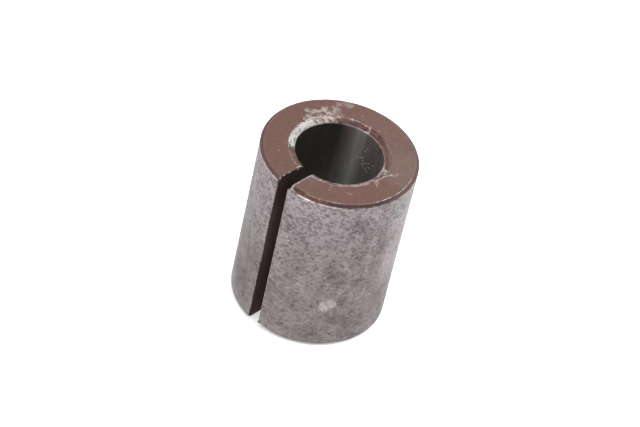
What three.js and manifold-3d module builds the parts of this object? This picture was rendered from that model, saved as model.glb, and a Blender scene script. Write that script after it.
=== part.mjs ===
// A one-piece split sleeve that clamps on a shaft: a thick-walled steel cylinder, bored through and
// sawn open along one side, so that it can close a little on whatever passes through it.
//
// Units are millimetres. The bore's axis is +Z, the origin is the middle of the lower end face, and
// the saw slot faces -Y.

import * as THREE from "three";
import { mergeVertices } from "three/addons/utils/BufferGeometryUtils.js";
import Module from "manifold-3d";

// Driving dimensions of the sleeve.
const OUTER_DIAMETER = 36;
const BORE_DIAMETER = 20; // for a 20 mm shaft
const LENGTH = 43.5;
const SLOT_WIDTH = 3; // one pass of a 3 mm slitting saw

// Turned edges: how far each runs across the end face, and how far along the axis.
const OUTER_EDGE = { across: 0.85, along: 0.55 };
const BORE_MOUTH = { across: 1.6, along: 0.7 };

// One lip of the slot has its burr dressed off with a small bevel at each end face.
const LIP_BEVEL = { across: 0.55, along: 0.35 };

// Facets round the sleeve. A multiple of four puts a vertex on both axes, so the box is exact.
const FACETS = 192;

// Overrun of a cutting tool past the face that it cuts through.
const OVERRUN = 2;

const OUTER_RADIUS = OUTER_DIAMETER / 2;
const BORE_RADIUS = BORE_DIAMETER / 2;

const wasm = await Module();
wasm.setup();

// A three.js geometry as a solid that can be cut.
function toSolid(geometry) {
  const shell = geometry.clone();
  shell.deleteAttribute("normal");
  shell.deleteAttribute("uv");
  const merged = mergeVertices(shell);
  return new wasm.Manifold(
    new wasm.Mesh({
      numProp: 3,
      vertProperties: new Float32Array(merged.attributes.position.array),
      triVerts: new Uint32Array(merged.index.array),
    }),
  );
}

// A cut solid as a three.js geometry, with flat normals.
function toGeometry(solid) {
  const mesh = solid.getMesh();
  const indexed = new THREE.BufferGeometry();
  indexed.setAttribute("position", new THREE.BufferAttribute(mesh.vertProperties, mesh.numProp));
  indexed.setIndex(new THREE.BufferAttribute(mesh.triVerts, 1));
  const flat = indexed.toNonIndexed();
  flat.computeVertexNormals();
  return flat;
}

// The turned blank: outside, bore, and the broken edges of both ends, spun round the axis.
function turnedBlank() {
  const outside = [
    [OUTER_RADIUS - OUTER_EDGE.across, 0],
    [OUTER_RADIUS, OUTER_EDGE.along],
    [OUTER_RADIUS, LENGTH - OUTER_EDGE.along],
    [OUTER_RADIUS - OUTER_EDGE.across, LENGTH],
  ];
  const bore = [
    [BORE_RADIUS + BORE_MOUTH.across, LENGTH],
    [BORE_RADIUS, LENGTH - BORE_MOUTH.along],
    [BORE_RADIUS, BORE_MOUTH.along],
    [BORE_RADIUS + BORE_MOUTH.across, 0],
  ];
  const profile = [...outside, ...bore, outside[0]];
  const blank = new THREE.LatheGeometry(
    profile.map(([radius, height]) => new THREE.Vector2(radius, height)),
    FACETS,
  );
  blank.rotateX(Math.PI / 2); // a lathe spins about +Y, and the sleeve stands along +Z
  return toSolid(blank);
}

// What the slitting saw takes away: one wall, from the bore to the outside, over the whole length.
function sawCut() {
  const depth = OUTER_RADIUS + OVERRUN;
  const cut = new THREE.BoxGeometry(SLOT_WIDTH, depth, LENGTH + 2 * OVERRUN);
  cut.translate(0, -depth / 2, LENGTH / 2);
  return toSolid(cut);
}

// The wedge that a file takes off the dressed lip at one end: end is 1 for the upper, -1 for the lower.
function lipWedge(end) {
  const wall = SLOT_WIDTH / 2;
  const section = new THREE.Shape([
    new THREE.Vector2(wall - OVERRUN, -LIP_BEVEL.along),
    new THREE.Vector2(wall, -LIP_BEVEL.along),
    new THREE.Vector2(wall + LIP_BEVEL.across, 0),
    new THREE.Vector2(wall + LIP_BEVEL.across, OVERRUN),
    new THREE.Vector2(wall - OVERRUN, OVERRUN),
  ]);
  const depth = OUTER_RADIUS + OVERRUN;
  const wedge = new THREE.ExtrudeGeometry(section, { depth, bevelEnabled: false });
  wedge.rotateX(Math.PI / 2); // section height along +Z, extruded towards -Y
  const solid = toSolid(wedge);
  return end > 0
    ? solid.translate([0, 0, LENGTH])
    : solid.mirror([0, 0, 1]);
}

function splitSleeve() {
  const cuts = [sawCut(), lipWedge(1), lipWedge(-1)];
  const sleeve = cuts.reduce((solid, cut) => solid.subtract(cut), turnedBlank());
  const steel = new THREE.MeshStandardMaterial({ color: 0x8d8385, roughness: 0.5, metalness: 1 });
  const mesh = new THREE.Mesh(toGeometry(sleeve), steel);
  mesh.name = "split_sleeve";
  return mesh;
}

const shaftCollar = new THREE.Group();
shaftCollar.add(splitSleeve());

export default shaftCollar;
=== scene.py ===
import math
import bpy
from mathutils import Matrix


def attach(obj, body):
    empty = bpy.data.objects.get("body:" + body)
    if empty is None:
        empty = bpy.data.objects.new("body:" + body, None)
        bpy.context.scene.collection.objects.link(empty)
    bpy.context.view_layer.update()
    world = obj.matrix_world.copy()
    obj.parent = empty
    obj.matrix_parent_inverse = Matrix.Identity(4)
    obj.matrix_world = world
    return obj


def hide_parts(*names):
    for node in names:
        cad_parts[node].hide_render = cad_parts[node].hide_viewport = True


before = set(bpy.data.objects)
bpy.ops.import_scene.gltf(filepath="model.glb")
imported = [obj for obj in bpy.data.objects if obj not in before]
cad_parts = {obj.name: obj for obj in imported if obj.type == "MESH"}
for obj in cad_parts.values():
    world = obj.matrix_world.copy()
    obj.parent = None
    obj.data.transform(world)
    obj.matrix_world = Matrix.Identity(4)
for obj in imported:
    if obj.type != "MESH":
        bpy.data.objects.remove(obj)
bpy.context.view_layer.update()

# Looks of a split shaft collar sleeve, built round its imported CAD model.
#
# One closed mesh stands for the CAD node: a steel sleeve, turned, bored and sawn open along one wall,
# with a brown film on its ends and in its slot, a dull pitted outside and a dark oiled bore.
#
# Lengths are millimetres while the mesh and its patterns are worked out, and metres in Blender itself.
# The bore's axis is +Z and the slot faces -Y. Angles are degrees from +X towards +Y: the slot is at -90.

from types import SimpleNamespace

import bpy
import numpy as np
from mathutils import Matrix, Vector, noise

CAD_NODE = "split_sleeve"
MM = 0.001
TOUCH = 0.01  # two lengths this close are the same length


# ---------------------------------------------------------------------------------------------------
# Sizes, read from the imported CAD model
# ---------------------------------------------------------------------------------------------------

def measure_sleeve():
    """The sleeve's driving sizes in millimetres, from the corners of its CAD node."""
    corners = np.array([v.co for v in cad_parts[CAD_NODE].data.vertices]) / MM
    x, y, z = corners.T
    radius = np.hypot(x, y)
    length = z.max()
    outer, bore = radius.max(), radius.min()
    on_top = z > length - TOUCH
    slot_half = np.abs(x[y < 0]).min()
    on_dressed_wall = np.abs(x - slot_half) < TOUCH
    return SimpleNamespace(
        length=length,
        outer=outer,
        bore=bore,
        slot_half=slot_half,
        face_inner=radius[on_top].min(),
        face_outer=radius[on_top].max(),
        edge_along=length - z[radius > outer - TOUCH].max(),
        mouth_along=length - z[radius < bore + TOUCH].max(),
        bevel_across=x[on_top & (y < 0) & (x > 0)].min() - slot_half,
        bevel_along=length - z[on_dressed_wall].max(),
    )


SIZE = measure_sleeve()


def polar(radius, angle, height):
    """The point at a radius and an angle in degrees round the axis."""
    turn = math.radians(angle)
    return Vector((radius * math.cos(turn), radius * math.sin(turn), height))


# ---------------------------------------------------------------------------------------------------
# The sleeve's mesh
# ---------------------------------------------------------------------------------------------------

EDGE_ROUND = 0.12      # radius of the worn turned edges
LIP_ROUND = 0.12       # radius of the slot's lips
WALL_STUB = 0.4        # straight wall that an end section takes with it before the plain rows start
CORNER_STEPS = 3
FACE_STEP = 0.46       # mesh spacing across an end face
OUTSIDE_ROWS = 88
LIP_STEP = 0.03        # mesh spacing at a lip, growing to ROUND_STEP away from it
ROUND_STEP = 0.325
STEP_GROWTH = 1.45


def rounded_corner(before, corner, after):
    """A corner of a section as the points of an arc."""
    back = (before - corner).normalized()
    on = (after - corner).normalized()
    half_turn = (math.pi - back.angle(on)) / 2
    reach = EDGE_ROUND * math.tan(half_turn)
    start, end = corner + back * reach, corner + on * reach
    centre = corner + (back + on).normalized() * (EDGE_ROUND / math.cos(half_turn))
    points = []
    for step in range(CORNER_STEPS + 1):
        spoke = (start - centre).lerp(end - centre, step / CORNER_STEPS)
        points.append(centre + spoke.normalized() * EDGE_ROUND)
    return points


def filled(points, spacing):
    """The same run of points, with long gaps divided to about the spacing."""
    run = [points[0]]
    for point in points[1:]:
        parts = max(1, round((point - run[-1]).length / spacing))
        start = run[-1]
        run += [start.lerp(point, part / parts) for part in range(1, parts + 1)]
    return run


def end_section():
    """One end from the bore's wall to the outer wall, as (radius, depth below the end face)."""
    s = SIZE
    corners = [
        Vector((s.bore, s.mouth_along + WALL_STUB)),
        Vector((s.bore, s.mouth_along)),
        Vector((s.face_inner, 0)),
        Vector((s.face_outer, 0)),
        Vector((s.outer, s.edge_along)),
        Vector((s.outer, s.edge_along + WALL_STUB)),
    ]
    run = [corners[0]]
    for before, corner, after in zip(corners, corners[1:], corners[2:]):
        run += rounded_corner(before, corner, after)
    run.append(corners[-1])
    return np.array([tuple(point) for point in filled(run, FACE_STEP)])


def sleeve_outline():
    """The wall's section as one closed loop of (radius, height), and its four sides as index runs."""
    end = end_section()
    top = np.column_stack([end[::-1, 0], SIZE.length - end[::-1, 1]])
    heights = np.linspace(end[-1, 1], SIZE.length - end[-1, 1], OUTSIDE_ROWS + 1)
    outside = np.column_stack([np.full_like(heights, SIZE.outer), heights])
    heights = np.linspace(end[0, 1], SIZE.length - end[0, 1], OUTSIDE_ROWS + 1)
    inside = np.column_stack([np.full_like(heights, SIZE.bore), heights])[::-1]
    loop = np.vstack([outside[:-1], top[:-1], inside[:-1], end[:-1]])
    starts = np.cumsum([0, len(outside) - 1, len(top) - 1, len(inside) - 1, len(end) - 1])
    sides = [np.arange(a, b + 1) % len(loop) for a, b in zip(starts, starts[1:])]
    return loop, sides


def outward(loop):
    """The outward normal of each point of a closed section."""
    along = np.roll(loop, -1, 0) - np.roll(loop, 1, 0)
    normal = np.column_stack([along[:, 1], -along[:, 0]])
    return normal / np.linalg.norm(normal, axis=1, keepdims=True)


def column_places():
    """Where each column stands round the sleeve: 0 at one lip, 1 at the other, closer near both."""
    round_it = 2 * math.pi * SIZE.outer - 2 * SIZE.slot_half
    steps = []
    step = LIP_STEP
    while step < ROUND_STEP:
        steps.append(step)
        step *= STEP_GROWTH
    middle = round((round_it - 2 * sum(steps)) / ROUND_STEP)
    steps = np.array(steps + [ROUND_STEP] * middle + steps[::-1])
    return np.concatenate([[0], np.cumsum(steps)]) / steps.sum()


def fillet(distance):
    """How far a rounded lip drops below its sharp surface, that far from the lip."""
    left = np.clip(LIP_ROUND - distance, 0, LIP_ROUND)
    return LIP_ROUND - np.sqrt(LIP_ROUND**2 - left**2)


def dressed(height, distance):
    """Heights cut down to the bevel that was filed on one lip at both ends."""
    depth = SIZE.bevel_along * (1 - distance / SIZE.bevel_across)
    return np.clip(height, depth, SIZE.length - depth)


def lip_angle(radius):
    """Half the angle that the slot takes up at a radius."""
    return np.arcsin(SIZE.slot_half / radius)


def ring_points(loop):
    """The turned surfaces: one column of the section for each place round the sleeve."""
    normal = outward(loop)
    columns = []
    for place in column_places():
        open_angle = 2 * math.pi - 2 * lip_angle(loop[:, 0])
        from_first = loop[:, 0] * place * open_angle
        from_last = loop[:, 0] * (1 - place) * open_angle
        drop = fillet(np.minimum(from_first, from_last))
        radius = loop[:, 0] - normal[:, 0] * drop
        height = loop[:, 1] - normal[:, 1] * drop
        height = dressed(height, from_first)
        start = -math.pi / 2 + lip_angle(radius)
        angle = start + place * (2 * math.pi - 2 * lip_angle(radius))
        columns.append(np.column_stack([radius * np.cos(angle), radius * np.sin(angle), height]))
    return np.array(columns)


def coons_patch(outside, top, inside, bottom):
    """The points inside four boundary runs that meet at their ends, as a grid of (across, up)."""
    across = np.linspace(0, 1, len(top))[:, None, None]
    up = np.linspace(0, 1, len(outside))[None, :, None]
    left, right = inside[None], outside[None]
    low, high = bottom[:, None], top[:, None]
    blend = (1 - across) * left + across * right + (1 - up) * low + up * high
    corners = (
        (1 - across) * (1 - up) * inside[0]
        + (1 - across) * up * inside[-1]
        + across * (1 - up) * outside[0]
        + across * up * outside[-1]
    )
    return blend - corners


def slot_wall(column, sides, lip_side):
    """The inner points of one flat slot wall, from the section at its lip."""
    section = np.column_stack([np.hypot(column[:, 0], column[:, 1]), column[:, 2]])
    outside, top, inside, bottom = (section[side] for side in sides)
    grid = coons_patch(outside, top[::-1], inside[::-1], bottom)
    radius, height = grid[..., 0], grid[..., 1]
    x = np.full_like(radius, lip_side * SIZE.slot_half)
    return np.stack([x, -np.sqrt(radius**2 - x**2), height], axis=-1)


def wall_indices(sides, column_start, inner_start, shape):
    """The vertex numbers of a slot wall's grid: its rim is the section at the lip."""
    outside, top, inside, bottom = sides
    grid = np.zeros(shape, int)
    grid[-1, :] = column_start + outside
    grid[:, -1] = column_start + top[::-1]
    grid[0, :] = column_start + inside[::-1]
    grid[:, 0] = column_start + bottom
    inner = (shape[0] - 2, shape[1] - 2)
    grid[1:-1, 1:-1] = inner_start + np.arange(inner[0] * inner[1]).reshape(inner)
    return grid


def grid_faces(grid, flip):
    """The four-sided faces of a grid of vertex numbers."""
    faces = np.stack([grid[:-1, :-1], grid[1:, :-1], grid[1:, 1:], grid[:-1, 1:]], axis=-1)
    faces = faces.reshape(-1, 4)
    return faces[:, ::-1] if flip else faces


def sleeve_surface():
    """Every vertex in millimetres, and every face, of the sharp clean sleeve."""
    loop, sides = sleeve_outline()
    rings = ring_points(loop)
    first = slot_wall(rings[0], sides, 1)
    last = slot_wall(rings[-1], sides, -1)
    first_inner = first[1:-1, 1:-1].reshape(-1, 3)
    last_inner = last[1:-1, 1:-1].reshape(-1, 3)
    count = rings.shape[0] * rings.shape[1]
    ring_grid = np.arange(count).reshape(rings.shape[:2])
    ring_grid = np.column_stack([ring_grid, ring_grid[:, 0]])
    last_start = (rings.shape[0] - 1) * rings.shape[1]
    first_grid = wall_indices(sides, 0, count, first.shape[:2])
    last_grid = wall_indices(sides, last_start, count + len(first_inner), last.shape[:2])
    points = np.vstack([rings.reshape(-1, 3), first_inner, last_inner])
    faces = np.vstack([
        grid_faces(ring_grid, False),
        grid_faces(first_grid, False),
        grid_faces(last_grid, True),
    ])
    return points, faces


# ---------------------------------------------------------------------------------------------------
# Wear of the mesh
# ---------------------------------------------------------------------------------------------------

# Places on the upper end, as (x, y) and a width, where something knocked a dent and bared the metal.
KNOCKS = [
    ((-6.0, 10.0), 1.0), ((-2.6, 11.1), 0.8), ((-1.3, 10.2), 1.1), ((0.2, 9.7), 0.6), ((-1.6, 11.3), 0.8),
    ((10.2, 4.0), 1.5), ((10.9, 3.2), 1.1), ((10.4, 1.6), 0.9), ((10.2, -3.4), 0.8), ((9.6, -4.3), 0.7),
    ((-1.9, -10.9), 1.0), ((-1.7, -11.7), 1.1), ((-1.6, -17.3), 0.9), ((2.9, -17.6), 1.4),
    ((-8.1, -11.3), 0.5), ((-7.6, -14.3), 0.4), ((-14.1, 4.5), 0.6), ((-13.6, 3.3), 0.5),
    ((-14.4, 3.6), 0.4), ((-5.4, 12.8), 0.6), ((-7.0, 11.3), 0.5), ((10.3, 11.8), 0.4),
    ((0.3, 12.2), 0.6), ((10.8, 7.7), 0.7),
    ((2.8, -10.6), 0.8), ((4.0, -10.4), 0.7), ((-8.9, 6.2), 0.6), ((-8.7, 3.1), 0.8),
    ((-11.3, 2.7), 0.6), ((-9.4, 1.6), 0.7), ((14.4, -7.1), 0.4), ((13.7, 8.0), 0.35),
]
CORNER_REACH = 6       # how far from the dressed lip its filed corner runs round the sleeve
CORNER_LOSS = 0.42     # how much the file took off it
SAW_RADIUS = 40        # the slitting saw's, which leaves curved marks on the slot's walls
SAW_MARK_GAP = 1.3

# How deep each kind of wear goes.
WAVE_DEPTH = 0.02
PIT_DEPTH = 0.05
GRAIN_DEPTH = 0.012
EDGE_DEPTH = 0.022
CHIP_DEPTH = 0.1
KNOCK_DEPTH = 0.12     # of a knock 1 mm wide
SAW_MARK_DEPTH = 0.012
BORE_WAVE_DEPTH = 0.008
END_WAVE_DEPTH = 0.012
BURR_HEIGHT = 0.045


def ramp(value, low, high):
    """0 at low and 1 at high, smooth in between."""
    part = min(max((value - low) / (high - low), 0), 1)
    return part * part * (3 - 2 * part)


def bumps(place, grain):
    """Noise from -1 to 1, with features of about that many millimetres."""
    return noise.noise(place / grain)


def pitted(place):
    """The outside: slow waves and shallow pits left by the rolled skin."""
    waves = WAVE_DEPTH * (1 + bumps(place, 4.5))
    hollows = PIT_DEPTH * ramp(bumps(place, 1.5), 0.1, 0.55)
    return waves + hollows + GRAIN_DEPTH * bumps(place, 0.8)


def edge_loss(place, radius, depth):
    """Metal rubbed and chipped from the turned edges, more in some places than in others."""
    to_face_edge = math.hypot(radius - SIZE.face_outer, depth)
    to_wall_edge = math.hypot(radius - SIZE.outer, depth - SIZE.edge_along)
    to_mouth = math.hypot(radius - SIZE.face_inner, depth)
    to_bore = math.hypot(radius - SIZE.bore, depth - SIZE.mouth_along)
    near = max(ramp(to, 0.5, 0) for to in (to_face_edge, to_wall_edge, to_mouth, to_bore))
    chips = ramp(to_bore, 0.9, 0.1) * ramp(bumps(place, 1.1), 0.2, 0.6)
    return near * EDGE_DEPTH * (1 + bumps(place, 1.7)) + CHIP_DEPTH * chips


def filed_corner(point):
    """The outer corners of the dressed lip, rounded off with the same file as its bevels."""
    x, y, z = point
    if x < 0 or y > 0:
        return 0
    radius, depth = math.hypot(x, y), min(z, SIZE.length - z)
    near_lip = ramp(x - SIZE.slot_half, CORNER_REACH, 0)
    near_edge = ramp(math.hypot(radius - SIZE.outer, depth), 1.7, 0.4)
    return CORNER_LOSS * near_lip * near_edge


def knocked(point):
    """The dents in the upper end."""
    x, y, z = point
    if z < SIZE.length - 1:
        return 0
    dents = (
        KNOCK_DEPTH * width * ramp(math.hypot(x - at[0], y - at[1]), width * 0.7, 0)
        for at, width in KNOCKS
    )
    return max(dents)


def saw_marks(radius, height):
    """Curved marks across the slot's walls."""
    arc = math.sqrt(SAW_RADIUS**2 - (radius - SIZE.bore) ** 2)
    return SAW_MARK_DEPTH * (1 + math.sin(2 * math.pi * (height + arc) / SAW_MARK_GAP))


def burr(place, radius, depth):
    """The ragged ridge that the saw threw up along the lip that nobody dressed."""
    x, y, _ = place
    to_wall = abs(x + SIZE.slot_half)
    at_surface = max(ramp(radius, SIZE.outer - 0.2, SIZE.outer), ramp(depth, 0.2, 0))
    if y > 0 or to_wall > 0.3:
        return 0
    return -BURR_HEIGHT * at_surface * ramp(to_wall, 0.25, 0.1) * ramp(bumps(place, 0.9), -0.1, 0.4)


def loss(point):
    """How far the worn surface lies below the clean one at a point, in millimetres."""
    place = Vector(point)
    x, y, z = point
    radius, depth = math.hypot(x, y), min(z, SIZE.length - z)
    on_outside = ramp(radius, SIZE.outer - 0.15, SIZE.outer - 0.05) * ramp(depth, 0.4, 1)
    on_slot = ramp(abs(x), SIZE.slot_half + 0.1, SIZE.slot_half) * (y < 0)
    on_bore = ramp(radius, SIZE.bore + 0.1, SIZE.bore)
    on_ends = ramp(depth, 1, 0.4)
    lost = on_outside * (1 - on_slot) * pitted(place)
    lost += on_slot * saw_marks(radius, z) * ramp(depth, 0, 1)
    lost += on_bore * BORE_WAVE_DEPTH * (1 + bumps(place, 6))
    lost += on_ends * END_WAVE_DEPTH * (1 + bumps(place, 2.4))
    lost += edge_loss(place, radius, depth) + burr(place, radius, depth)
    return lost + knocked(point) + filed_corner(point)


def make_mesh(name, points, faces):
    """A smooth mesh in metres, from points in millimetres."""
    mesh = bpy.data.meshes.new(name)
    mesh.from_pydata((points * MM).tolist(), [], faces.tolist())
    mesh.polygons.foreach_set("use_smooth", [True] * len(mesh.polygons))
    mesh.update()
    return mesh


def wear_mesh(mesh, points):
    """Moves each vertex in along its normal by what the surface has lost."""
    normals = np.array([normal.vector for normal in mesh.vertex_normals])
    lost = np.array([loss(point) for point in points.tolist()])
    worn = (points - normals * lost[:, None]) * MM
    mesh.vertices.foreach_set("co", worn.ravel())
    mesh.update()


def make_sleeve():
    """The piece that stands for the CAD sleeve."""
    points, faces = sleeve_surface()
    mesh = make_mesh("worn_split_sleeve", points, faces)
    wear_mesh(mesh, points)
    sleeve = bpy.data.objects.new("worn_split_sleeve", mesh)
    bpy.context.scene.collection.objects.link(sleeve)
    mesh.materials.append(sleeve_material())
    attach(sleeve, "root")
    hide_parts(CAD_NODE)


# ---------------------------------------------------------------------------------------------------
# Patterns, as numbers that vary over the surface
# ---------------------------------------------------------------------------------------------------

# Patterns of one kind lie at different places in the noise: each shift moves one by this much.
NOISE_SHIFT = (31.7, 17.3, 23.9)
DOT_SHIFT = (13.1, 29.3, 7.7)
STREAK_SHIFT = (7.3, 3.1)

UPPER_END = (1.7, 1.3)     # depths at which the marks on the upper end stop, and are at full strength
SHOULDER = (9, 2)          # the same for the polish and painted light on the outside below it
LINE_CORE = 1 / 6          # the share of a worn line's width on each side that is at full strength


class Field:
    """A shader value that adds, multiplies and compares like a number."""

    def __init__(self, paint, socket):
        self.paint = paint
        self.socket = socket

    def __add__(self, other):
        return self.paint.math("ADD", self, other)

    def __sub__(self, other):
        return self.paint.math("SUBTRACT", self, other)

    def __rsub__(self, other):
        return self.paint.math("SUBTRACT", other, self)

    def __mul__(self, other):
        return self.paint.math("MULTIPLY", self, other)

    def __truediv__(self, other):
        return self.paint.math("DIVIDE", self, other)

    __radd__ = __add__
    __rmul__ = __mul__

    def above(self, other):
        return self.paint.math("MAXIMUM", self, other)

    def below(self, other):
        return self.paint.math("MINIMUM", self, other)

    def size(self):
        return self.paint.math("ABSOLUTE", self)

    def between(self, low, high, most=1):
        """0 at low and 1 (or another most) at high, smooth in between. Low may be the larger."""
        node = self.paint.node("ShaderNodeMapRange", self, low, high, 0, most)
        node.interpolation_type = "SMOOTHSTEP"
        return Field(self.paint, node.outputs[0])


class Paint:
    """Adds nodes to one material. Its places are millimetres in the part's own frame."""

    def __init__(self, name):
        self.material = bpy.data.materials.new(name)
        self.material.use_nodes = True
        self.tree = self.material.node_tree
        self.shader = self.tree.nodes["Principled BSDF"]
        place = self.node("ShaderNodeTexCoord").outputs["Object"]
        self.place = self.vector("SCALE", place, Scale=1 / MM)
        x, y, z = self.node("ShaderNodeSeparateXYZ", self.place).outputs
        self.x, self.y, self.z = Field(self, x), Field(self, y), Field(self, z)
        self.plan = self.vector("MULTIPLY", self.place, (1, 1, 0))
        self.facing = self.vector("NORMALIZE", self.plan)
        self.radius = self.math("SQRT", self.x * self.x + self.y * self.y)
        self.depth = self.z.below(SIZE.length - self.z)
        self.upper = self.z.between(*(SIZE.length - depth for depth in UPPER_END))
        self.upper_shoulder = self.z.between(*(SIZE.length - depth for depth in SHOULDER))
        self.slot_side = self.x.size() - SIZE.slot_half + self.y.between(-2, 0) * SIZE.outer

    def node(self, kind, *inputs, operation=None, **named):
        """A new node. Each input is a number, a colour, a socket or a Field."""
        node = self.tree.nodes.new(kind)
        if operation:
            node.operation = operation
        for socket, value in zip(node.inputs, inputs):
            self.feed(socket, value)
        for name, value in named.items():
            self.feed(node.inputs[name], value)
        return node

    def feed(self, socket, value):
        value = getattr(value, "socket", value)
        if isinstance(value, bpy.types.NodeSocket):
            self.tree.links.new(value, socket)
        else:
            socket.default_value = value

    def math(self, operation, *inputs):
        node = self.node("ShaderNodeMath", *inputs, operation=operation)
        return Field(self, node.outputs[0])

    def vector(self, operation, *inputs, **named):
        node = self.node("ShaderNodeVectorMath", *inputs, operation=operation, **named)
        return node.outputs["Value" if operation in ("LENGTH", "DISTANCE", "DOT_PRODUCT") else "Vector"]

    def noise(self, grain, shift=0, detail=2, roughness=0.5, distortion=0, stretch=(1, 1, 1)):
        """Soft noise about 0.5, with features of about that many millimetres."""
        away = [shift * step for step in NOISE_SHIFT]
        place = self.vector("MULTIPLY_ADD", self.place, stretch, away)
        node = self.node("ShaderNodeTexNoise", Vector=place, Scale=1 / grain, Detail=detail,
                         Roughness=roughness, Distortion=distortion)
        return Field(self, node.outputs[0])

    def streaks(self, across, around, shift=0):
        """Noise drawn out round the axis: streaks of that width, and of that length beside the bore."""
        place = self.vector("SCALE", self.facing, Scale=SIZE.bore / around)
        away = [shift * step for step in STREAK_SHIFT]
        level = self.node("ShaderNodeCombineXYZ", *away, self.radius / across).outputs[0]
        node = self.node("ShaderNodeTexNoise", Vector=self.vector("ADD", place, level), Scale=1, Detail=3)
        return Field(self, node.outputs[0])

    def dots(self, gap, width, share, shift=0):
        """Round dots of that width, in a share of the cells of a grid of that gap."""
        place = self.vector("ADD", self.place, [shift * step for step in DOT_SHIFT])
        node = self.node("ShaderNodeTexVoronoi", Vector=place, Scale=1 / gap)
        chance = Field(self, self.node("ShaderNodeSeparateColor", node.outputs["Color"]).outputs[0])
        distance = Field(self, node.outputs["Distance"]) * gap
        return distance.between(width / 2, width / 4) * chance.between(share + 0.01, share)

    def spot(self, centre, width, most=1):
        """1 at a place, falling to 0 at half the width from it. A place with no height is seen in plan."""
        place = self.place if len(centre) == 3 else self.plan
        distance = self.vector("DISTANCE", place, Vector(centre).to_3d())
        return Field(self, distance).between(width / 2, 0, most)

    def sector(self, angle, half_width, soft):
        """1 within an angle of a direction round the axis, in degrees."""
        facing = Field(self, self.vector("DOT_PRODUCT", self.facing, polar(1, angle, 0)))
        inner = math.cos(math.radians(half_width))
        outer = math.cos(math.radians(half_width + soft))
        return facing.between(outer, inner)

    def ring_line(self, radius, depth, width):
        """A line round the part, at a radius and a depth below either end face."""
        aside = self.radius - radius
        down = self.depth - depth
        return self.math("SQRT", aside * aside + down * down).between(width / 2, width * LINE_CORE)

    def scratch(self, start, end, width):
        """A straight line from one (x, y) to another, seen in plan."""
        start, end = Vector((*start, 0)), Vector((*end, 0))
        run = end - start
        along = Field(self, self.vector("DOT_PRODUCT", self.vector("SUBTRACT", self.plan, start), run))
        along = (along / run.length_squared).above(0).below(1)
        nearest = self.vector("ADD", self.vector("SCALE", run, Scale=along), start)
        distance = Field(self, self.vector("DISTANCE", self.plan, nearest))
        return distance.between(width / 2, width * LINE_CORE)

    def mix(self, amount, low, high):
        """A colour or number between two others."""
        node = self.tree.nodes.new("ShaderNodeMix")
        node.data_type = "RGBA"
        self.feed(node.inputs[0], amount)
        self.feed(node.inputs[6], low)
        self.feed(node.inputs[7], high)
        return node.outputs[2]


def srgb(red, green, blue):
    """A colour given as it looks on a screen, 0 to 255, as a linear colour."""
    def linear(part):
        part /= 255
        return part / 12.92 if part <= 0.04045 else ((part + 0.055) / 1.055) ** 2.4
    return (linear(red), linear(green), linear(blue), 1)


# ---------------------------------------------------------------------------------------------------
# The sleeve's material
# ---------------------------------------------------------------------------------------------------

# Lines worn into the upper end, each a run of (x, y) places, a width and how bare it is.
SCRATCHES = [
    ([(12.9, 5.3), (11.9, 3.4), (11.5, 1.8), (11.6, -0.3), (12.4, -0.5)], 0.6, 0.5),
    ([(12.9, 4.5), (11.9, 3.4)], 0.55, 0.5),
    ([(9.4, 4.4), (11.0, 4.2), (10.3, 1.5)], 0.5, 0.5),
    ([(8.2, 6.1), (9.4, 4.4), (10.3, 1.4)], 0.5, 0.8),
    ([(10.6, -3.9), (9.9, -5.6), (8.7, -7.2)], 0.5, 0.5),
    ([(11.5, -0.7), (13.2, -1.6)], 0.4, 0.45),
    ([(3.6, 10.9), (6.4, 9.7), (9.2, 6.9)], 0.4, 0.2),
    ([(-7.6, 5.7), (-6.9, 6.6), (-6.0, 7.4)], 0.55, 1),
    ([(-5.5, 7.7), (-4.5, 8.5), (-3.2, 9.1)], 0.4, 0.8),
    ([(-2.4, 9.4), (-0.8, 9.5)], 0.4, 0.6),
    ([(-8.0, 8.7), (-6.6, 9.7), (-5.2, 10.4)], 0.4, 0.5),
    ([(-5.0, 10.5), (-3.4, 11.0), (-2.0, 11.3)], 0.35, 0.5),
    ([(-1.6, 11.5), (-1.2, 10.6), (-0.5, 9.8)], 0.7, 0.6),
    ([(-1.2, 10.6), (-1.9, 9.5)], 0.7, 0.5),
    ([(6.3, -9.5), (7.4, -10.3)], 0.7, 0.14),
    ([(7.3, -10.6), (7.6, -11.3)], 0.6, 0.12),
    ([(8.1, -9.9), (8.5, -10.7)], 0.6, 0.12),
    ([(10.2, -8.5), (11.4, -8.2)], 0.7, 0.18),
]

# Where the film is rubbed thin and grey beside the bright metal, as (x, y) and a width.
THIN_FILM = [
    ((-12.3, 2.0), 4.4), ((-11.0, 3.0), 7.0), ((-9.4, 4.4), 7.0), ((-11.2, 5.2), 7.5),
    ((-9.6, 6.8), 7.0), ((-11.6, 7.4), 5.0), ((-10.4, 9.2), 6.0), ((-8.9, 8.3), 4.0),
    ((-10.9, 11.2), 4.0), ((-10.2, 13.0), 4.0), ((-13.7, 3.6), 2.4),
]
BROWN_HOLES = [((-10.1, 2.2), 3.2), ((-11.8, 4.0), 2.0), ((-11.2, 6.0), 2.2), ((-11.2, 8.1), 2.8)]

# Bright specks on the bore's wall, as an angle and a depth below the upper end.
BORE_SPECKS = [
    (82, 8), (93, 8.5), (90, 9), (93, 9.5), (91, 10), (82, 9), (79, 9), (96, 8),
    (102, 8.5), (93, 7.5), (83, 10.5), (86, 10), (74, 7.5), (86, 8.5), (90, 4.5), (92, 5.5),
]

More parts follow.
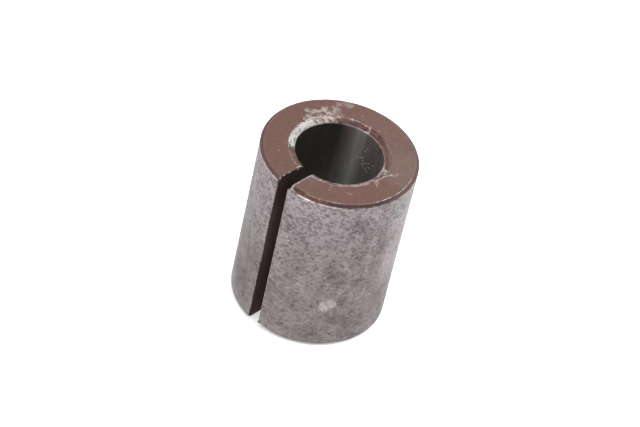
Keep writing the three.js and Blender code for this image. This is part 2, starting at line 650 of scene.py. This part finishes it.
# Places on the outside, each as an angle, a height and a width: a mark rubbed pale, and where the
# steel is greener or darker.
SMUDGE = [(-35.8, 13.4, 4.8), (-39.0, 12.6, 5.2)]
GREEN_PATCHES = [(8, 39, 10), (7, 31, 8), (-120, 24, 8)]
DARK_PATCHES = [
    (0, 28.8, 8), (-98, 16, 9), (-28, 38, 7), (-28, 14, 7),
    (-44, 3.5, 8), (3, 13, 9), (95, 16, 7), (-38, 21.5, 8),
]
SPECK_WIDTH = 0.75

# Below, a sector is a direction round the axis, half its width and how far it fades beyond that, in
# degrees. On the outside, the slot's dressed lip is at -85 and the other one at -95.


def outside_mask(p, slot):
    """1 on the bare outside wall, ending raggedly at the film of the turned edge."""
    jitter = (p.noise(0.7, shift=1, detail=3, roughness=0.6) - 0.5) * 0.6
    creep = p.sector(-68, 10, 8) * 0.2
    below_edge = (p.depth + jitter - creep).between(SIZE.edge_along - 0.06, SIZE.edge_along + 0.08)
    far_out = p.radius.between(SIZE.face_outer, SIZE.face_outer + 0.3)
    return below_edge * far_out * (1 - slot)


def bore_mask(p):
    """1 on the bore's wall, past its countersinks."""
    past_mouth = p.depth.between(SIZE.mouth_along - 0.2, SIZE.mouth_along)
    return p.radius.between(SIZE.bore + 0.22, SIZE.bore + 0.1) * past_mouth


def mouth_mask(p):
    """1 on the countersinks of the bore."""
    return p.radius.between(SIZE.face_inner + 0.15, SIZE.face_inner - 0.15)


def turned_edge_mask(p):
    """1 on the outer edges at both ends."""
    return p.radius.between(SIZE.face_outer - 0.02, SIZE.face_outer + 0.12) * p.depth.between(3, 1)


def slot_mask(p):
    """1 on the two flat walls of the slot."""
    return p.slot_side.between(0.1, 0.05) * p.y.between(0, -1)


def any_of(fields):
    """The largest of several fields."""
    largest = fields[0]
    for field in fields[1:]:
        largest = largest.above(field)
    return largest


def spots(p, places):
    """Several spots, each a centre and a width."""
    return any_of([p.spot(centre, width) for centre, width in places])


def spots_on(p, radius, places):
    """Several spots on a wall, each an angle, a height and a width."""
    return spots(p, [(polar(radius, angle, height), width) for angle, height, width in places])


def ragged(p, field, grain, shift, reach=2.5, hardness=0.1):
    """A soft field cut to a ragged edge, which stays inside the field."""
    rough = (p.noise(grain, shift=shift, detail=4, roughness=0.65) - 0.5) * reach
    return (field + rough).between(0.5 - hardness, 0.5 + hardness) * field.between(0, 0.15)


def silver_wear(p):
    """Bright metal at the bore's mouth, where a shaft has rubbed the film off."""
    mouth = p.radius.between(SIZE.face_inner + 0.7, SIZE.face_inner - 0.6)
    return ragged(p, mouth * p.sector(197, 19, 16) * p.upper, 0.55, 11, 2.4, 0.14)


def grey_wear(p):
    """A thin, mottled patch of film beside the bright metal, with brown islands left in it."""
    patch = ragged(p, spots(p, THIN_FILM), 1.5, 12, 3.4, 0.16)
    islands = ragged(p, spots(p, BROWN_HOLES), 0.7, 21, 1.4, 0.2)
    mottle = p.noise(0.8, shift=22, detail=3, roughness=0.6).between(0.3, 0.55)
    return patch * (1 - islands * 0.9) * (mottle * 0.5 + 0.5) * p.upper


def edge_wear(p):
    """Bright lines along the worn edges, broken up by chance."""
    broken = p.noise(1.4, shift=13, detail=4, roughness=0.75)
    face_edge = p.ring_line(SIZE.face_outer, 0.03, 0.24)
    face_share = p.sector(2, 14, 14).above(p.sector(-62, 16, 8) * 0.75).above(0.14)
    mouth_edge = p.ring_line(SIZE.face_inner, 0.03, 0.36)
    mouth_share = p.sector(-122, 20, 10).above(p.sector(-58, 14, 12) * 0.4)
    bore_edge = p.ring_line(SIZE.bore + 0.05, SIZE.mouth_along - 0.05, 0.4)
    bore_share = p.sector(-26, 24, 8).above(0.16)
    lines = [
        face_edge * face_share * broken.between(0.38, 0.56),
        mouth_edge * mouth_share * broken.between(0.42, 0.58) * 0.6,
        bore_edge * bore_share * broken.between(0.46, 0.58) * 0.8,
    ]
    return any_of(lines)


def bright_rim(p):
    """The upper rim of the outside wall: polish beside the dressed lip, painted as a near-white highlight
    line.
    """
    line = p.ring_line(SIZE.outer - 0.02, SIZE.edge_along + 0.24, 0.6)
    share = p.sector(-75, 6, 8).above(p.sector(-60, 10, 8) * 0.35).above(p.sector(-110, 10, 8) * 0.2)
    broken = p.noise(0.7, shift=25, detail=3, roughness=0.7).between(0.3, 0.56)
    return line * share * broken * p.upper_shoulder


def lip_wear(p):
    """Bare metal along the slot's lips: a filed bevel on one and broken burrs on the other."""
    lip = p.slot_side.between(0.22, 0.08)
    broken = p.noise(0.9, shift=14, detail=4, roughness=0.75)
    at_end = p.depth.between(0.6, 0.35)
    bevel = p.slot_side.between(SIZE.bevel_across + 0.12, SIZE.bevel_across - 0.05)
    bevel = bevel * at_end * p.x.between(0, 1) * p.slot_side.between(-0.05, 0.02)
    corner = p.spot((SIZE.slot_half, -SIZE.outer + 0.4), 4.2) * p.upper
    corner = ragged(p, corner, 0.7, 23, 0.9) * p.x.between(0, 1)
    outer_lip = lip * p.radius.between(SIZE.outer - 0.25, SIZE.outer - 0.12)
    outer_lip = outer_lip * broken.between(0.4, 0.56) * 0.6
    end_lip = lip * p.depth.between(0.16, 0.08) * broken.between(0.48, 0.6)
    return any_of([bevel * (broken.between(0.3, 0.6) * 0.5 + 0.3), corner * 0.85, outer_lip, end_lip])


def scratch_run(p, run, width, share):
    """One of the lines worn into the upper end."""
    return any_of([p.scratch(start, end, width) for start, end in zip(run, run[1:])]) * share


def knocks(p):
    """Small knocks, scratches and specks of bare metal on the end faces."""
    soft = p.noise(0.8, shift=15, detail=3).between(0.3, 0.6)
    lines = any_of([scratch_run(p, *scratch) for scratch in SCRATCHES]) * soft
    dents = any_of([p.spot(centre, width, min(1, 0.35 + 0.6 * width)) for centre, width in KNOCKS])
    dents = ragged(p, dents, 0.4, 16, 1.8, 0.18) * 0.8
    return (lines.above(dents) * p.upper).above(p.dots(3.4, 0.3, 0.1, shift=3) * 0.35)


def pits(p):
    """How pitted the outside is: short curved pits, crowding towards the upper end."""
    crowd = p.noise(6, shift=10, detail=1) * 0.14 - 0.02
    crowd = crowd + p.z.between(8, 40, 0.085) + p.sector(-76, 8, 14) * 0.02
    fine = p.noise(0.85, shift=9, detail=4, roughness=0.6, distortion=0.55, stretch=(1, 1, 1.4))
    return fine + crowd


def steel_colour(p, pitting):
    """Dull pitted steel: soft blotches, lighter towards the upper end, and small dark pits with pale rims
    that are painted highlights.
    """
    blotches = p.noise(7, shift=2, detail=3, stretch=(1, 1, 0.7))
    colour = p.mix(blotches.between(0.34, 0.64), srgb(101, 93, 93), srgb(121, 111, 112))
    colour = p.mix(p.z.between(14, 43) * 0.42, colour, srgb(152, 143, 146))
    mottle = p.noise(2.2, shift=3, detail=4, roughness=0.6)
    colour = p.mix(mottle.between(0.5, 0.7) * 0.4, colour, srgb(150, 141, 142))
    colour = p.mix(mottle.between(0.5, 0.3) * 0.4, colour, srgb(80, 72, 74))
    colour = p.mix(spots_on(p, SIZE.outer, DARK_PATCHES) * 0.6, colour, srgb(80, 77, 77))
    # A rubbed smudge, with painted light, sheen and a highlight streak on the outside.
    colour = p.mix(rubbed_and_lit_steel(p) * 0.6, colour, srgb(176, 166, 168))
    colour = p.mix(p.z.between(6, 1) * 0.25, colour, srgb(132, 134, 131))
    colour = p.mix(spots_on(p, SIZE.outer, GREEN_PATCHES) * 0.7, colour, srgb(120, 125, 121))
    # Painted highlights: the steel between the pits is made lighter, as pale rims catching the light.
    colour = p.mix(pitting.between(0.53, 0.40) * 0.35, colour, srgb(166, 156, 157))
    return p.mix(pitting.between(0.59, 0.73) * 0.6, colour, srgb(60, 52, 54))


def rubbed_and_lit_steel(p):
    """Where the outside is lighter: a smudge rubbed pale, polish with painted light along the upper end
    and beside the slot, a lighter place on one side, painted light from below at the foot, a painted sheen
    on a flank and a painted highlight streak.
    """
    soft = p.noise(0.8, shift=17, detail=3).between(0.32, 0.6)
    smudge = spots_on(p, SIZE.outer, SMUDGE).between(0.08, 0.6) * (soft * 0.7 + 0.3)
    # Polish with painted light along the upper end and beside the slot.
    shoulder = (p.sector(-70, 10, 16) * 0.7).above(0.15) * p.upper_shoulder
    beside = p.sector(-68, 12, 12) * 0.22
    side = p.sector(-110, 10, 12) * p.z.between(24, 31) * 0.35
    # Painted light from below, at the foot.
    foot = p.z.between(5, 1.5) * p.sector(-95, 34, 14) * 0.62
    # A painted sheen on the flank, and a narrow painted highlight streak.
    flank = p.sector(18, 10, 12) * p.z.between(12, 22) * 0.7
    streak = p.sector(-12.6, 1.2, 2.4) * p.z.between(19, 24) * p.z.between(39, 34) * soft * 0.5
    return any_of([smudge, shoulder, beside, side, foot, flank, streak])


def film_colour(p, zone):
    """The brown film, a little more purple in some places and more olive in others."""
    drift = p.noise(9, shift=5, detail=2)
    colour = p.mix(drift.between(0.34, 0.66), srgb(88, 54, 48), srgb(82, 58, 48))
    fine = p.noise(1.1, shift=6, detail=4, roughness=0.6)
    colour = p.mix(fine.between(0.52, 0.75) * 0.3, colour, srgb(112, 84, 76))
    colour = p.mix(fine.between(0.46, 0.3) * 0.3, colour, srgb(66, 40, 36))
    greyer = p.sector(62, 40, 30) * 0.13 + p.sector(30, 10, 16) * 0.2
    colour = p.mix(greyer, colour, srgb(106, 92, 83))
    scuffs = p.noise(0.55, shift=33, detail=3, roughness=0.7).between(0.57, 0.7)
    colour = p.mix(scuffs * (p.sector(44, 36, 20) * 0.3 + 0.1), colour, srgb(150, 134, 124))
    colour = p.mix(p.spot((3.4, -12.2), 4.5) * 0.4, colour, srgb(88, 74, 74))
    turned = p.streaks(0.35, 5, shift=26)
    colour = p.mix(zone.mouth * (1 - zone.grey), colour, mouth_colour(p, turned))
    # The outer edges, darkened with painted shade.
    return p.mix(zone.turned_edge * 0.9, colour, turned_edge_colour(p, turned))


def mouth_colour(p, turned):
    """The film on the countersinks: painted shade in blotches at the back, and rubbed pale in front."""
    pale = p.sector(-42, 36, 16) * p.noise(1.0, shift=27, detail=3, roughness=0.6).between(0.42, 0.6)
    colour = p.mix(turned.between(0.35, 0.65), srgb(66, 41, 37), srgb(98, 68, 60))
    blotches = p.noise(1.4, shift=31, detail=3, roughness=0.6).between(0.58, 0.42)
    # Painted shade at the back of the countersinks.
    colour = p.mix(p.sector(112, 30, 20) * blotches * 0.75, colour, srgb(54, 26, 30))
    colour = p.mix(p.sector(-135, 9, 6) * 0.7, colour, srgb(66, 48, 50))
    return p.mix(pale * 0.7, colour, srgb(150, 132, 128))


def turned_edge_colour(p, turned):
    """The film on the outer edges: darkened as painted shade, most on the side towards -42, and warmer and
    speckled beside the dressed lip.
    """
    warm = p.sector(-70, 9, 9)
    speckle = p.noise(0.45, shift=32, detail=3, roughness=0.7)
    # Painted shade: the outer edges darker, darkest towards -42.
    colour = p.mix(p.sector(-42, 24, 22), srgb(76, 54, 51), srgb(46, 27, 25))
    colour = p.mix(warm * 0.8, colour, srgb(96, 66, 54))
    colour = p.mix(speckle.between(0.5, 0.62) * (warm + 0.12) * 0.55, colour, srgb(138, 103, 88))
    return p.mix(turned.above(speckle).between(0.66, 0.5) * warm * 0.6, colour, srgb(44, 30, 26))


def slot_colour(p):
    """The film on the slot's walls, with painted shade towards both ends."""
    # Painted shade: darker towards the lower and the upper end.
    colour = p.mix(p.z.between(8, 26), srgb(70, 52, 52), srgb(84, 65, 65))
    return p.mix(p.z.between(30, 42), colour, srgb(54, 40, 39))


def bore_colour(p, pale_side):
    """Oiled black, with a greyer side that is partly a thinner film and partly painted light, a painted
    highlight streak, rust at its edge and a few specks.
    """
    streaks = p.noise(2.5, shift=18, detail=3, stretch=(1, 1, 0.15))
    grey = p.mix(p.depth.between(3, 16), srgb(150, 136, 136), srgb(146, 146, 140))
    # The paler side is partly a thinner film and partly painted light.
    colour = p.mix(pale_side, srgb(112, 109, 102), grey)
    # A painted highlight: a bright streak down the bore's wall.
    painted_streak_highlight = p.sector(103.5, 2, 8) * (p.depth.between(19, 8) * 0.28 + 0.24)
    colour = p.mix(painted_streak_highlight, colour, srgb(200, 200, 198))
    colour = p.mix(streaks.between(0.6, 0.35) * 0.3, colour, srgb(84, 84, 76))
    rust = p.sector(48, 22, 14) * p.depth.between(3.4, 1)
    rust = rust * p.noise(1.0, shift=28, detail=3).between(0.45, 0.6)
    colour = p.mix(rust * 0.7, colour, srgb(92, 44, 38))
    places = [(angle, SIZE.length - depth, SPECK_WIDTH) for angle, depth in BORE_SPECKS]
    specks = spots_on(p, SIZE.bore, places) * (streaks + 0.4)
    return p.mix(specks, colour, srgb(250, 246, 242))


RELIEF = 0.1 * MM      # what a surface height of 1 stands for


def surface_height(p, zone):
    """The fine relief that the mesh is too coarse for: pitted steel, and the film's orange peel."""
    grain = p.noise(0.5, shift=19, detail=3)
    orange_peel = p.noise(1.1, shift=6, detail=4, roughness=0.6)
    steel = grain * 0.35 - zone.pitting.between(0.6, 0.75) * 0.25
    height = steel * zone.outside + orange_peel * 0.3 * (1 - zone.outside)
    return height * (1 - zone.bore * 0.7)


def bare_colour(p):
    """Bare metal: bright where it is freshly rubbed, duller in between, warm on one edge."""
    fine = p.noise(0.5, shift=24, detail=3, roughness=0.7)
    fresh = (fine + p.streaks(0.3, 4, shift=29)) * 0.5
    colour = p.mix(fresh.between(0.38, 0.52), srgb(110, 106, 101), srgb(182, 179, 175))
    warm = p.sector(-66, 12, 6) * p.radius.between(SIZE.face_outer - 0.8, SIZE.face_outer - 0.3)
    return p.mix(warm * 0.8, colour, srgb(170, 124, 102))


def grey_colour(p):
    """The thin film: pale, with greener and more purple places."""
    mottle = p.noise(1.3, shift=30, detail=3, roughness=0.6)
    colour = p.mix(mottle.between(0.4, 0.58), srgb(98, 90, 81), srgb(156, 146, 142))
    return p.mix(p.y.between(7, 10) * 0.7, colour, srgb(116, 97, 99))


def sleeve_zones(p):
    """Where each kind of surface is, from 0 to 1."""
    slot, bore = slot_mask(p), bore_mask(p)
    outside = outside_mask(p, slot)
    film = (1 - outside) * (1 - bore)
    silver, marks = silver_wear(p) * film, knocks(p) * film * (1 - slot)
    return SimpleNamespace(
        outside=outside,
        bore=bore,
        slot=slot,
        film=film,
        mouth=mouth_mask(p),
        turned_edge=turned_edge_mask(p),
        # The bore's paler side, partly a thinner film and partly painted light.
        pale_bore_side=p.sector(70, 38, 30),
        pitting=pits(p),
        grey=grey_wear(p) * film,
        bare=any_of([silver, edge_wear(p), lip_wear(p), marks]),
        rim=bright_rim(p),
    )


def sleeve_colour(p, zone):
    """Steel and film, then what lies over them."""
    colour = p.mix(zone.outside, film_colour(p, zone), steel_colour(p, zone.pitting))
    colour = p.mix(zone.grey * 0.9, colour, grey_colour(p))
    colour = p.mix(zone.slot, colour, slot_colour(p))
    colour = p.mix(zone.bore, colour, bore_colour(p, zone.pale_bore_side))
    colour = p.mix(zone.bare, colour, bare_colour(p))
    # The polished rim, painted as a highlight line.
    return p.mix(zone.rim, colour, srgb(244, 230, 226))


def sleeve_metal(zone):
    """How metallic the surface is: the film is the least, and the bore the most."""
    bore = zone.bore * (0.9 - zone.pale_bore_side * 0.5)
    return any_of([zone.outside * 0.75, bore, zone.bare * 0.45, zone.grey * 0.2]) * (1 - zone.rim)


def sleeve_roughness(p, zone):
    """The oiled bore is the smoothest, and the turned edges are the roughest."""
    rough = p.noise(2.2, shift=20, detail=2) * 0.16 + 0.3
    rough = rough + zone.outside * 0.12 + zone.slot * 0.3 + zone.bare * 0.2
    return rough + (zone.mouth * 0.2).above(zone.turned_edge * 0.4) * zone.film - zone.bore * 0.04


def sleeve_material():
    p = Paint("sleeve_steel")
    zone = sleeve_zones(p)
    mouth_back = zone.mouth * p.sector(112, 26, 20)
    inputs = p.shader.inputs
    p.feed(inputs["Base Color"], sleeve_colour(p, zone))
    p.feed(inputs["Metallic"], sleeve_metal(zone))
    p.feed(inputs["Roughness"], sleeve_roughness(p, zone))
    p.feed(inputs["Specular IOR Level"], 0.5 - zone.slot * 0.42 - mouth_back * 0.2)
    p.feed(inputs["Specular Tint"], (0.8, 0.78, 0.79, 1))
    bump = p.node("ShaderNodeBump", Strength=1.0, Distance=RELIEF, Height=surface_height(p, zone))
    p.feed(inputs["Normal"], bump.outputs[0])
    return p.material


# ---------------------------------------------------------------------------------------------------
# Camera, floor and light
# ---------------------------------------------------------------------------------------------------

VIEW_AZIMUTH = 35.76   # 0 looks along +Y
VIEW_ELEVATION = 42.15
VIEW_ROLL = 13.34      # the sleeve leans over in the frame
VIEW_DISTANCE = 608.3
VIEW_LENS = 150.8      # on the default 36 mm sensor
VIEW_ASIDE = -0.78     # the camera's own offset from the line through the sleeve's middle
VIEW_ABOVE = 1.86


def make_camera():
    """A long lens aimed at the sleeve's middle, a little off centre and rolled over."""
    azimuth, elevation = math.radians(VIEW_AZIMUTH), math.radians(VIEW_ELEVATION)
    back = Vector((
        math.sin(azimuth) * math.cos(elevation),
        -math.cos(azimuth) * math.cos(elevation),
        math.sin(elevation),
    ))
    level = Vector((math.cos(azimuth), math.sin(azimuth), 0))
    upright = back.cross(level)
    turn = math.radians(VIEW_ROLL)
    right = level * math.cos(turn) + upright * math.sin(turn)
    up = upright * math.cos(turn) - level * math.sin(turn)
    middle = Vector((0, 0, SIZE.length / 2))
    place = middle + back * VIEW_DISTANCE + right * VIEW_ASIDE + up * VIEW_ABOVE
    camera = bpy.data.objects.new("camera", bpy.data.cameras.new("camera"))
    camera.data.lens = VIEW_LENS
    camera.data.clip_start = 0.01
    turned = Matrix((right, up, back)).transposed().to_4x4()
    camera.matrix_world = Matrix.Translation(place * MM) @ turned
    bpy.context.scene.collection.objects.link(camera)
    bpy.context.scene.camera = camera


FLOOR_RADIUS = 2.5  # metres
FLOOR_SIDES = 96
FLOOR_DROP = 0.0001
FLOOR_GLOW = 0.35    # a sheet of opal plastic, lit from below as on a product photographer's table


def make_floor():
    """A pale disc just below the sleeve's lower end."""
    turns = [2 * math.pi * side / FLOOR_SIDES for side in range(FLOOR_SIDES)]
    rim = [(FLOOR_RADIUS * math.cos(t), FLOOR_RADIUS * math.sin(t), -FLOOR_DROP) for t in turns]
    mesh = bpy.data.meshes.new("floor")
    mesh.from_pydata(rim, [], [list(range(FLOOR_SIDES))])
    floor = bpy.data.objects.new("floor", mesh)
    bpy.context.scene.collection.objects.link(floor)
    material = bpy.data.materials.new("pale_floor")
    material.use_nodes = True
    shader = material.node_tree.nodes["Principled BSDF"]
    shader.inputs["Base Color"].default_value = (0.9, 0.9, 0.9, 1)
    shader.inputs["Roughness"].default_value = 0.8
    shader.inputs["Specular IOR Level"].default_value = 0.1
    shader.inputs["Emission Color"].default_value = (1, 1, 1, 1)
    shader.inputs["Emission Strength"].default_value = FLOOR_GLOW
    floor.data.materials.append(material)


def make_softbox(name, place, aim, width, watts):
    """A round lamp that faces a point. Places and width are in metres."""
    lamp = bpy.data.lights.new(name, "AREA")
    lamp.shape = "DISK"
    lamp.size = width
    lamp.energy = watts
    box = bpy.data.objects.new(name, lamp)
    box.location = place
    box.rotation_mode = "QUATERNION"
    box.rotation_quaternion = (Vector(aim) - Vector(place)).to_track_quat("-Z", "Y")
    bpy.context.scene.collection.objects.link(box)


DIM_SIDE = -38    # the direction in which the light tent is open, and darker
TENT_BRIGHT = 0.85
TENT_DIM = 0.35


def make_light():
    """Two softboxes, in a white tent that is darker on one side."""
    middle = (0, 0, SIZE.length * MM / 2)
    make_softbox("top_softbox", (0.0, 0.15, 1.2), middle, width=0.9, watts=14)
    make_softbox("right_softbox", (0.7, 0.4, 0.8), middle, width=0.4, watts=3)
    world = bpy.data.worlds.new("light_tent")
    world.use_nodes = True
    tree = world.node_tree
    toward = tree.nodes.new("ShaderNodeVectorMath")
    toward.operation = "DOT_PRODUCT"
    tree.links.new(tree.nodes.new("ShaderNodeTexCoord").outputs["Generated"], toward.inputs[0])
    toward.inputs[1].default_value = polar(1, DIM_SIDE, 0)
    dimmed = tree.nodes.new("ShaderNodeMapRange")
    dimmed.interpolation_type = "SMOOTHSTEP"
    tree.links.new(toward.outputs["Value"], dimmed.inputs["Value"])
    ranges = {"From Min": 0.2, "From Max": 0.95, "To Min": TENT_BRIGHT, "To Max": TENT_DIM}
    for name, number in ranges.items():
        dimmed.inputs[name].default_value = number
    tree.links.new(dimmed.outputs[0], tree.nodes["Background"].inputs["Strength"])
    tree.nodes["Background"].inputs["Color"].default_value = (1, 1, 1, 1)
    bpy.context.scene.world = world


make_camera()
make_sleeve()
make_floor()
make_light()
bpy.context.scene.view_settings.view_transform = "Standard"
